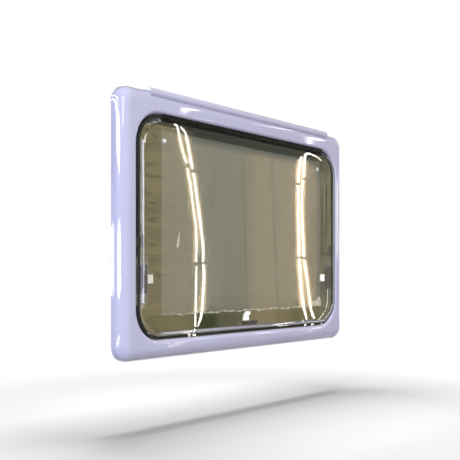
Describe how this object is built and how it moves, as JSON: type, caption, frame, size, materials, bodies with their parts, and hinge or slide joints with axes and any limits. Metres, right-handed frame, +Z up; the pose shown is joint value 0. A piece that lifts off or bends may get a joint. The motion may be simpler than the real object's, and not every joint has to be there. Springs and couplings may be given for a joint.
{
  "type": "caravan window",
  "caption": "Top-hung caravan window: moulded frame with wall flange and rain gutter, domed double acrylic pane on a hinge profile, turn latches and telescopic stays.",
  "frame": {"origin": "on the back face of the frame's wall flange, in the middle of its bottom run", "axes": "+X to the right seen from outdoors, +Y into the caravan, +Z up"},
  "size_m": [0.9, 0.08, 0.6041],
  "materials": {
    "frame_abs": "moulded, glossy",
    "gutter_abs": "extruded, glossy",
    "seal_rubber": "matt",
    "rail_black": "extruded, satin",
    "hinge_black": "extruded, satin",
    "outer_acrylic": "tinted acrylic, polished",
    "inner_acrylic": "tinted acrylic, polished",
    "plug_plastic": "moulded",
    "clear_pad": "clear, bonded",
    "latch_brown": "moulded, satin",
    "lever_white": "moulded, glossy",
    "pin_steel": "turned",
    "rod_steel": "drawn",
    "stay_black": "moulded, satin"
  },
  "bodies": {
    "root": {"outer_frame": "frame_abs", "rain_gutter": "gutter_abs", "frame_seal": "seal_rubber", "hinge_rail": "rail_black", "sash_hinge_profile": "hinge_black", "outer_pane": "outer_acrylic", "inner_pane": "inner_acrylic", "breather_plug_left": "plug_plastic", "breather_plug_right": "plug_plastic", "latch_left_pad": "clear_pad", "latch_left_base": "latch_brown", "latch_left_pin": "pin_steel", "keeper_left": "latch_brown", "latch_right_pad": "clear_pad", "latch_right_base": "latch_brown", "latch_right_pin": "pin_steel", "keeper_right": "latch_brown", "latch_bottom_pad": "clear_pad", "latch_bottom_base": "latch_brown", "latch_bottom_pin": "pin_steel", "keeper_bottom": "latch_brown", "stay_left_frame_bracket": "stay_black", "stay_left_tube": "stay_black", "stay_left_rod": "rod_steel", "stay_left_sash_bracket": "stay_black", "stay_right_frame_bracket": "stay_black", "stay_right_tube": "stay_black", "stay_right_rod": "rod_steel", "stay_right_sash_bracket": "stay_black"},
    "lever_left": {"latch_left_lever": "lever_white"},
    "lever_right": {"latch_right_lever": "lever_white"},
    "lever_bottom": {"latch_bottom_lever": "lever_white"}
  },
  "joints": [
    {"name": "latch_left_turn", "type": "hinge", "parent": "root", "child": "lever_left", "pos_m": [-0.3765, -0.0155, 0.173], "axis": [0, 1, 0], "range_deg": [0, 90]},
    {"name": "latch_right_turn", "type": "hinge", "parent": "root", "child": "lever_right", "pos_m": [0.3765, -0.0155, 0.173], "axis": [0, -1, 0], "range_deg": [0, 90]},
    {"name": "latch_bottom_turn", "type": "hinge", "parent": "root", "child": "lever_bottom", "pos_m": [0, -0.0155, 0.0585], "axis": [0, 1, 0], "range_deg": [0, 90]}
  ]
}
